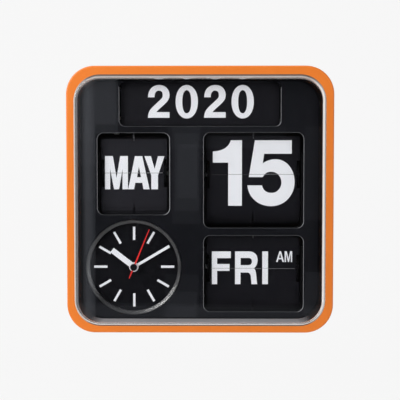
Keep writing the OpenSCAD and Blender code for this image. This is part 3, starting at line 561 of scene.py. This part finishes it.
smallM = [(28.9, 15.7), (30.9, 15.7), (32.4, 8.8), (33.9, 15.7), (35.8, 15.7), (35.8, 5.8), (34.6, 5.8),
          (34.6, 13.6), (32.9, 5.8), (31.9, 5.8), (30.2, 13.6), (30.2, 5.8), (28.9, 5.8)]
glyphs = {
    "may": [
        [(-26.5, 15.5), (-19.3, 15.5), (-16.0, -4.4), (-12.6, 15.5), (-5.6, 15.5), (-5.6, -14.8),
         (-10.6, -14.8), (-10.5, 3.7), (-13.7, -14.8), (-18.3, -14.8), (-21.8, 3.7), (-21.8, -14.8),
         (-26.5, -14.8)],
        [(-5.4, -14.8), (0.8, 15.4), (7.5, 15.4), (14.1, -14.8), (8.5, -14.8), (7.5, -8.9), (1.1, -8.9),
         (-0.1, -14.8)],
        [(4.4, 5.8), (6.3, -3.8), (2.7, -3.8)],
        [(9.5, 15.4), (15.4, 15.4), (18.8, 3.7), (21.8, 15.4), (27.8, 15.4), (21.8, -2.2), (21.8, -14.8),
         (15.7, -14.8), (15.7, -2.2)],
    ],
    "jun": [
        [(-18.6, 15.4), (-12.9, 15.4), (-12.9, -7.0, 0, 0, 0, -5.2), (-19.6, -15.3, 3.8, 0, -4.3, 0),
         (-26.5, -7.4, 0, -5.0, 0, 0), (-26.5, -4.6), (-20.9, -4.6), (-20.9, -7.4, 0, 0, 0, -2.2),
         (-19.7, -10.2, -0.9, 0, 0.9, 0), (-18.6, -7.2, 0, -2.0, 0, 0)],
        [(-9.2, 15.4), (-3.5, 15.4), (-3.5, -6.6, 0, 0, 0, -2.4), (-0.6, -10.2, -1.9, 0, 1.9, 0),
         (2.3, -6.6, 0, -2.4, 0, 0), (2.3, 15.4), (8.0, 15.4), (8.0, -6.0, 0, 0, 0, -5.8),
         (-0.6, -15.3, 5.2, 0, -5.2, 0), (-9.2, -6.0, 0, -5.8, 0, 0)],
        [(11.2, 15.4), (16.9, 15.4), (21.4, -1.6), (21.4, 15.4), (26.4, 15.4), (26.4, -14.8), (21.1, -14.8),
         (16.3, 2.9), (16.3, -14.8), (11.2, -14.8)],
    ],
    "one": [
        [(-20.5, 31.0, -1.8, -6.6, 0, 0), (-10.3, 31.0), (-10.3, -28.65), (-22.8, -28.65), (-22.8, 10.7),
         (-36.8, 10.7), (-36.8, 20.9, 0, 0, 8.5, 0.2)],
    ],
    "five": [
        [(1.5, 31.0), (35.0, 31.0), (35.0, 18.75), (9.9, 18.75), (8.6, 9.9, 0, 0, 3.3, 2.5),
         (20.4, 13.8, -4.6, 0, 10.0, 0), (37.7, -7.1, 0, 11.6, 0, -12.2), (16.5, -29.0, 12.0, 0, -12.4, 0),
         (-5.3, -10.0, 0.9, -10.6, 0, 0), (8.1, -10.0, 0, 0, 0.6, -4.2), (16.6, -16.9, -4.6, 0, 5.2, 0),
         (25.7, -7.3, 0, -5.3, 0, 5.3), (16.4, 2.4, 5.2, 0, -4.0, 0), (8.6, -2.5, 2.0, 3.2, 0, 0),
         (-4.0, -2.5)],
    ],
    "six": [
        [(36.4, 16.0, 0, 0, -0.8, 9.8), (19.2, 31.6, 9.8, 0, -15.0, 0), (-4.0, 0.0, 0, 18.0, 0, -18.0),
         (17.2, -29.3, -13.2, 0, 12.0, 0), (37.7, -9.4, 0, -11.6, 0, 11.0), (20.6, 9.4, 10.1, 0, -4.8, 0),
         (9.2, 4.4, 3.2, 2.8, 0.4, 9.0), (19.4, 20.4, -6.2, 0, 3.2, 0), (24.4, 15.8, 0, 3.6, 0, 0)],
        ovalLoop(17.5, -9.3, 7.8, 8.9, 4.3, 5.0),
    ],
    "fri": [
        [(-37.6, 15.5), (-20.3, 15.5), (-20.3, 9.3), (-32.8, 9.3), (-32.8, 3.9), (-21.4, 3.9),
         (-21.4, -2.4), (-32.8, -2.4), (-32.8, -14.6), (-37.6, -14.6)],
        [(-16.4, 15.5), (-4.0, 15.5, 0, 0, 5.3, 0), (4.15, 7.8, 0, 4.7, 0, -3.4),
         (0.8, 0.0, 2.4, 1.8, 1.6, -0.9), (3.1, -7.0, -0.3, 3.0, 0.2, -3.0), (3.9, -14.6), (-1.3, -14.6),
         (-1.9, -8.0, 0.3, -2.6, -0.2, 2.4), (-5.2, -3.9, 1.9, 0, 0, 0), (-11.4, -3.9), (-11.4, -14.6),
         (-16.4, -14.6)],
        [(-11.3, 9.5), (-4.0, 9.5, 0, 0, 2.0, 0), (-1.0, 6.3, 0, 1.8, 0, -2.0), (-4.0, 2.9, 1.9, 0, 0, 0),
         (-11.3, 2.9)],
        [(8.5, 15.5), (13.7, 15.5), (13.7, -14.6), (8.5, -14.6)],
    ],
    "am": [
        [(21.1, 5.8), (24.1, 15.7), (25.6, 15.7), (28.4, 5.8), (26.95, 5.8), (26.25, 8.3), (23.25, 8.3),
         (22.5, 5.8)],
        [(24.8, 13.8), (25.85, 9.5), (23.65, 9.5)],
        smallM,
    ],
    "pm": [
        [(21.6, 5.8), (21.6, 15.7), (24.6, 15.7, 0, 0, 2.2, 0), (27.9, 12.7, 0, 1.8, 0, -1.9),
         (24.6, 9.6, 2.2, 0, 0, 0), (23.1, 9.6), (23.1, 5.8)],
        [(23.1, 14.2), (24.5, 14.2, 0, 0, 1.2, 0), (26.2, 12.7, 0, 0.9, 0, -0.9),
         (24.5, 11.1, 1.2, 0, 0, 0), (23.1, 11.1)],
        smallM,
    ],
    "two": [  # the year's digits, each from its own lower left
        [(0.1, 19.0, 0, 0, 0, 7.0), (10.4, 30.4, -6.0, 0, 6.0, 0), (20.3, 21.0, 0, 5.6, 0, -3.9),
         (14.9, 11.9, 3.3, 3.0, -2.6, -2.4), (7.9, 5.2, 1.8, 2.4, 0, 0), (20.3, 5.2), (20.3, 0.0),
         (0.0, 0.0, 0, 0, 0.2, 5.4), (5.3, 10.8, -3.4, -3.2, 3.4, 3.2), (13.0, 18.0, -1.8, -1.8, 0.7, 0.9),
         (13.9, 21.3, 0, -1.5, 0, 2.4), (10.3, 25.2, 2.2, 0, -2.6, 0), (6.2, 19.0, 0, 4.0, 0, 0)],
    ],
    "zero": [
        ovalLoop(10.5, 14.85, 10.5, 15.55, 5.9, 9.4),
        ovalLoop(10.5, 14.85, 4.2, 10.7, 2.6, 6.9),
    ],
}


# depths of ink and leaf in metres; half of the split, and the drop from there to the cut edge, in mm
printing = {"ink": 0.02 * mm, "sink": 0.005 * mm, "pivot": 13.0 * mm, "leaf": 0.25 * mm,
            "split": 0.14, "drop": 0.2, "curveSteps": 12, "merge": 0.000001}


def moveLoops(loops, dx, dz, wide, tall):
    sizes = (wide, tall) * 3
    return [[(k[0] * wide + dx, k[1] * tall + dz, *(a * b for a, b in zip(k[2:], sizes))) for k in loop]
            for loop in loops]


def flatLetters(name, loops, inkThick):
    curve = bpy.data.curves.new(name, "CURVE")
    curve.dimensions = "2D"
    curve.fill_mode = "BOTH"
    curve.resolution_u = printing["curveSteps"]
    curve.extrude = inkThick / 2
    for loop in loops:
        line = curve.splines.new("BEZIER")
        line.bezier_points.add(len(loop) - 1)
        line.use_cyclic_u = True
        for point, knot in zip(line.bezier_points, loop):
            here = Vector((knot[0], knot[1], 0)) * mm
            point.co = here
            if len(knot) == 2:
                point.handle_left_type = point.handle_right_type = "VECTOR"
            else:
                point.handle_left_type = point.handle_right_type = "FREE"
                point.handle_left = here + Vector((knot[2], knot[3], 0)) * mm
                point.handle_right = here + Vector((knot[4], knot[5], 0)) * mm
    obj = bpy.data.objects.new(name, curve)
    scene.collection.objects.link(obj)
    pick(obj)
    bpy.ops.object.convert(target="MESH")
    openMesh(obj)
    bpy.ops.mesh.remove_doubles(threshold=printing["merge"])
    bpy.ops.mesh.normals_make_consistent(inside=False)
    closeMesh()
    return obj


def cutLetters(obj, height, keepUpper):
    openMesh(obj)
    bpy.ops.mesh.bisect(plane_co=(0, height, 0), plane_no=(0, 1, 0), use_fill=True,
                        clear_inner=keepUpper, clear_outer=not keepUpper)
    closeMesh()


displays = {
    "month": {"leaves": 24, "now": ["may"], "next": ["jun"], "half": 26.0, "edge": 0.10},
    "date": {"leaves": 31, "now": ["one", "five"], "next": ["one", "six"], "half": 38.5, "edge": 0.10},
    "day": {"leaves": 28, "now": ["fri", "am"], "next": ["fri", "pm"], "half": 38.5, "edge": 0.30},
}


def printDisplay(key, spec):
    axis = jointAt(key + "_drum_index")
    step = 2 * math.pi / spec["leaves"]
    plane = axis.y - printing["pivot"] * math.cos(step / 2)  # middle of the front leaf
    front = plane - printing["leaf"] / 2 + printing["sink"] - printing["ink"] / 2
    rear = plane + printing["leaf"] / 2 - printing["sink"] + printing["ink"] / 2
    for when in ("now", "next"):
        loops = [loop for word in spec[when] for loop in glyphs[word]]
        for upper in (True, False):
            obj = flatLetters(key + when.capitalize() + ("Upper" if upper else "Lower"), loops, printing["ink"])
            cutLetters(obj, printing["split"] * mm * (1 if upper else -1), upper)
            if when == "next" and not upper:
                standUp(obj, (axis.x, rear, axis.z), -90)  # on the leaf's rear, upside down
            else:
                standUp(obj, (axis.x, front, axis.z))
            if when == "next" and upper:
                spin = Matrix.Rotation(-step, 4, "X")  # one place back on the drum
                obj.matrix_world = Matrix.Translation(axis) @ spin @ Matrix.Translation(-axis)
                settle(obj)
            onLeaf = upper == (when == "now")
            finishPiece(obj, finishes["whitePrint"], key + ("_leaf" if onLeaf else "_drum"))
    low = -printing["split"] - printing["drop"]  # painted highlight: a pale strip along the cut edge of the lower leaf, behind the ink, for the edge catching the light
    high = low + spec["edge"]
    wide = spec["half"]
    line = flatLetters(key + "CutEdgeHighlight", [[(-wide, low), (-wide, high), (wide, high), (wide, low)]],
                       printing["ink"] / 2)
    standUp(line, (axis.x, front + printing["ink"] / 4, axis.z))
    finishPiece(line, finishes["leafEdgeHighlight"], key + "_drum")


for key, spec in displays.items():
    printDisplay(key, spec)

yearPrint = {"digits": [("two", -47.3), ("zero", -22.2), ("two", 3.65), ("zero", 28.5)],
             "base": 74.35, "wide": 0.963, "tall": 0.974}
yearLoops = []
for name, x in yearPrint["digits"]:
    yearLoops += moveLoops(glyphs[name], x, yearPrint["base"], yearPrint["wide"], yearPrint["tall"])
yearDigits = flatLetters("yearDigits", yearLoops, printing["ink"])
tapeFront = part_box("year_tape")[0].y
standUp(yearDigits, (0, tapeFront + printing["sink"] - printing["ink"] / 2, 0))
finishPiece(yearDigits, finishes["whitePrint"], "case")
print("readings printed")


# pale stage: a floor that sweeps up into a wall; mirrored in the lens, it fades out towards the camera
stageSize = {"floor": -0.42, "wall": 1.6, "near": -1.1, "half": 2.4, "top": 2.4, "sweep": 0.7, "sweepSteps": 16,
             "close": 0.01, "smooth": 40}
stageLook = {"low": (0.80, 0.80, 0.80), "high": (0.82, 0.82, 0.82), "cloud": (3, 2), "rough": 0.9,
             "tone": 0.972, "show": 0.90, "fade": [(-0.85, 0.0), (-0.25, 1.0)]}


def paleStage(look):
    f = Finish("paleStage")
    f.colour(f.ramp(f.noise(*look["cloud"]), look["low"], look["high"]))
    f.set(Roughness=look["rough"])
    tone = look["tone"]
    glow = f.add("ShaderNodeEmission", Color=(tone, tone, tone, 1))
    fade = f.steps(f.axes()["Y"], stageSize["near"], 0.0, look["fade"])
    seen = f.add("ShaderNodeLightPath").outputs["Is Camera Ray"]
    f.join(f.math("MAXIMUM", seen, fade), glow.inputs["Strength"])
    most = f.times(seenBy(f.tree, ["Is Camera Ray", "Is Glossy Ray", "Is Transmission Ray"]), look["show"])
    f.surface(mixNode(f.tree, most, f.shader.outputs["BSDF"], glow.outputs["Emission"]))
    return f.mat


def selectEdges(obj, test):
    for edge in obj.data.edges:
        edge.select = all(test(obj.data.vertices[v].co) for v in edge.vertices)


def buildStage(size):
    dropSelection()
    middle = (size["wall"] + size["near"]) / 2
    bpy.ops.mesh.primitive_plane_add(size=1, location=(0, middle, size["floor"]))
    sweep = bpy.context.object
    sweep.name = "paleSweep"
    sweep.scale = (2 * size["half"], size["wall"] - size["near"], 1)
    settle(sweep)
    openMesh(sweep, "DESELECT")
    closeMesh()
    selectEdges(sweep, lambda co: co.y > size["wall"] - size["close"])
    bpy.ops.object.mode_set(mode="EDIT")
    bpy.ops.mesh.select_mode(type="EDGE")
    bpy.ops.mesh.extrude_region_move(TRANSFORM_OT_translate={"value": (0, 0, size["top"])})
    closeMesh()
    selectEdges(sweep, lambda co: co.y > size["wall"] - size["close"] and co.z < size["floor"] + size["close"])
    bpy.ops.object.mode_set(mode="EDIT")
    bpy.ops.mesh.bevel(offset=size["sweep"], segments=size["sweepSteps"], affect="EDGES")
    closeMesh()
    smoothByAngle(sweep, size["smooth"])
    sweep.data.materials.append(paleStage(stageLook))


buildStage(stageSize)

lamps = {
    "keySoftbox": {"at": (-1.14, -0.92, 0.76), "aim": (0, -0.05, 0), "size": (0.9, 0.9), "power": 21.4,
                   "tint": (1.0, 0.99, 0.975)},
    "fillSoftbox": {"at": (1.25, -1.1, 0.10), "aim": (0, -0.05, 0), "size": (0.7, 1.0), "power": 5.2,
                    "tint": (0.985, 0.99, 1.0)},
    "topSoftbox": {"at": (0.0, -0.30, 1.25), "aim": (0, -0.03, 0), "size": (1.2, 0.7), "power": 4.8,
                   "tint": (1.0, 1.0, 1.0)},
    "lowSoftbox": {"at": (-1.20, -1.20, -0.26), "aim": (0, -0.05, 0), "size": (0.6, 0.28), "power": 4.4,
                   "tint": (1.0, 1.0, 1.0), "mirror": False},  # leaves no patch on the lens
}
# faint strips that the lens mirrors: x, width, low, high, glow; strips one behind the other make a soft edge
edgeStrips = {
    "aim": (-0.1, -0.06, 0.02), "y": -1.10, "apart": 0.004, "tint": (0.90, 0.95, 1.06),
    "left": [(-0.264, 0.010, -0.50, 0.60, 0.080), (-0.264, 0.016, -0.50, 0.60, 0.080),
             (-0.264, 0.022, -0.50, 0.60, 0.080), (-0.264, 0.028, -0.50, 0.60, 0.080)],
    "middle": [(-0.036, 0.046, -0.03, 0.095, 0.070), (-0.037, 0.056, -0.06, 0.120, 0.070),
               (-0.038, 0.066, -0.09, 0.135, 0.065), (-0.050, 0.070, -0.31, -0.25, 0.060),
               (-0.050, 0.080, -0.31, -0.21, 0.050)],
    "upperLeft": [(-0.278, 0.048, 0.10, 0.50, 0.060), (-0.277, 0.050, 0.04, 0.50, 0.060),
                  (-0.277, 0.052, -0.04, 0.50, 0.060), (-0.279, 0.050, -0.50, 0.60, 0.115),
                  (-0.230, 0.048, 0.140, 0.50, 0.130), (-0.229, 0.056, 0.118, 0.50, 0.130)],
    "low": [(0.0, 0.62, -0.350, -0.292, 0.070), (0.0, 0.64, -0.350, -0.286, 0.060)],
    "right": [(0.282, 0.077, -0.350, -0.210, 0.090), (0.282, 0.077, -0.085, 0.140, 0.042)],
    "high": [(0.056, 0.284, 0.087, 0.140, 0.036)],
}


def stripLamps(strips):
    rows = [row for part in ("left", "middle", "upperLeft", "low", "right", "high") for row in strips[part]]
    for i, (x, width, low, high, glow) in enumerate(rows):
        tall = high - low
        place = (x, strips["y"] - strips["apart"] * i, (low + high) / 2)
        power = glow * math.pi * width * tall
        lamps["edgeStrip%d" % i] = {"at": place, "aim": strips["aim"], "size": (width, tall), "power": power,
                                    "tint": strips["tint"]}


def hangLamp(name, spec):
    light = bpy.data.lights.new(name, "AREA")
    light.shape = "RECTANGLE"
    light.size, light.size_y = spec["size"]
    light.energy = spec["power"]
    light.color = spec["tint"]
    obj = bpy.data.objects.new(name, light)
    aimAt(obj, spec)
    obj.visible_camera = False
    obj.visible_glossy = obj.visible_transmission = spec.get("mirror", True)
    scene.collection.objects.link(obj)


stripLamps(edgeStrips)
for name, spec in lamps.items():
    hangLamp(name, spec)

# the room is pale to the camera, dark where the lens mirrors it, and lights the rest evenly: tone and strength
roomLight = {"matt": (1.0, 0.285), "gloss": (1.0, 0.008), "pale": (stageLook["tone"], 1.0)}


def lightRoom(levels):
    world = bpy.data.worlds.new("studio")
    scene.world = world
    world.use_nodes = True
    tree = world.node_tree
    tree.nodes.remove(tree.nodes["Background"])
    shade = {}
    for name, (tone, strength) in levels.items():
        node = tree.nodes.new("ShaderNodeBackground")
        node.inputs["Color"].default_value = (tone, tone, tone, 1)
        node.inputs["Strength"].default_value = strength
        shade[name] = node.outputs["Background"]
    room = mixNode(tree, seenBy(tree, ["Is Glossy Ray", "Is Transmission Ray"]), shade["matt"], shade["gloss"])
    room = mixNode(tree, seenBy(tree, ["Is Camera Ray"]), room, shade["pale"])
    tree.links.new(room, tree.nodes["World Output"].inputs["Surface"])


lightRoom(roomLight)

view = {"at": (0.004, -0.700, 0.0217), "aim": (0, -0.07, 0.0), "lens": 63.27, "sensor": 36}
eye = bpy.data.cameras.new("clockCamera")
eye.lens = view["lens"]
eye.sensor_width = view["sensor"]
camera = bpy.data.objects.new("clockCamera", eye)
aimAt(camera, view)
scene.collection.objects.link(camera)
scene.camera = camera
print("stage, lamps and camera set:", len(lamps), "lamps")
